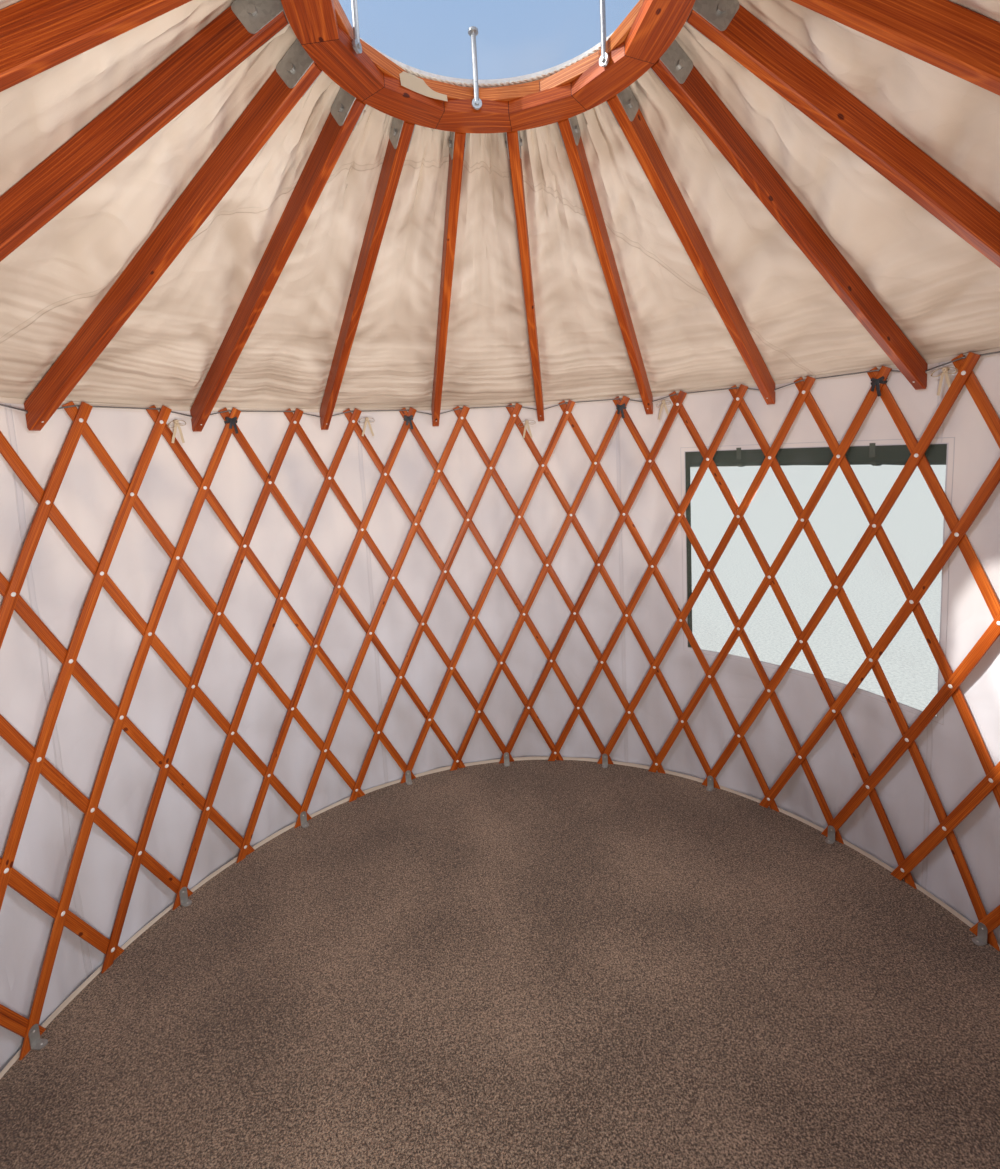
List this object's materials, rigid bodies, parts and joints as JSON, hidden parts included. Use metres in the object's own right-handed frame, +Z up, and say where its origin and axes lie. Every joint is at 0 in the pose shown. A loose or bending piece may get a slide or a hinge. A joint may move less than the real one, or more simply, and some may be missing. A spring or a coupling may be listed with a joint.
{
  "type": "lattice-walled fabric yurt",
  "caption": "Round yurt with a crossed-slat wall, rafters to a wooden centre ring, clear dome, fabric cover, clear windows, an open framed doorway and a carpeted deck.",
  "frame": {"origin": "centre of the deck's underside, on the ground", "axes": "+Z up; the doorway is towards -Y; +X is to the right of someone who looks in through it"},
  "size_m": [3.6486, 3.6486, 3.5317],
  "materials": {
    "deck": "sawn timber",
    "carpet": "short dense pile",
    "slats": "reddish stain, satin",
    "rafters": "reddish stain, satin",
    "ring": "reddish stain, satin",
    "door_timber": "reddish stain, satin",
    "cable": "dull stranded steel",
    "galvanised": "galvanised, dull",
    "rods": "bright zinc",
    "rim": "smooth",
    "clear_dome": "clear acrylic",
    "clear_vinyl": "clear flexible vinyl",
    "wall_fabric": "coated canvas, matt",
    "roof_fabric": "coated canvas, matt",
    "flap_fabric": "coated canvas, matt"
  },
  "bodies": {
    "root": {"floor_deck": "deck", "floor_carpet": "carpet", "lattice_1": "slats", "lattice_2": "slats", "lattice_3": "slats", "lattice_4": "slats", "lattice_5": "slats", "lattice_6": "slats", "lattice_7": "slats", "lattice_8": "slats", "lattice_9": "slats", "lattice_10": "slats", "lattice_11": "slats", "top_cable": "cable", "foot_brackets": "galvanised", "rafters_rear": "rafters", "rafters_right": "rafters", "rafters_left": "rafters", "rafter_hangers": "galvanised", "ring_lower": "ring", "ring_middle": "ring", "ring_upper": "ring", "dome_ties": "rods", "dome_rim": "rim", "dome": "clear_dome", "wall_cover_1": "wall_fabric", "wall_cover_2": "wall_fabric", "wall_cover_3": "wall_fabric", "wall_cover_4": "wall_fabric", "wall_cover_5": "wall_fabric", "wall_cover_6": "wall_fabric", "wall_above_window_right": "wall_fabric", "wall_below_window_right": "wall_fabric", "wall_above_window_left": "wall_fabric", "wall_below_window_left": "wall_fabric", "window_panes": "clear_vinyl", "window_rolls": "flap_fabric", "roof_cover_1": "roof_fabric", "roof_cover_2": "roof_fabric", "roof_cover_3": "roof_fabric", "roof_cover_4": "roof_fabric", "roof_cover_5": "roof_fabric", "roof_cover_6": "roof_fabric", "door_posts": "door_timber", "door_header": "door_timber", "door_threshold": "door_timber"}
  },
  "joints": []
}
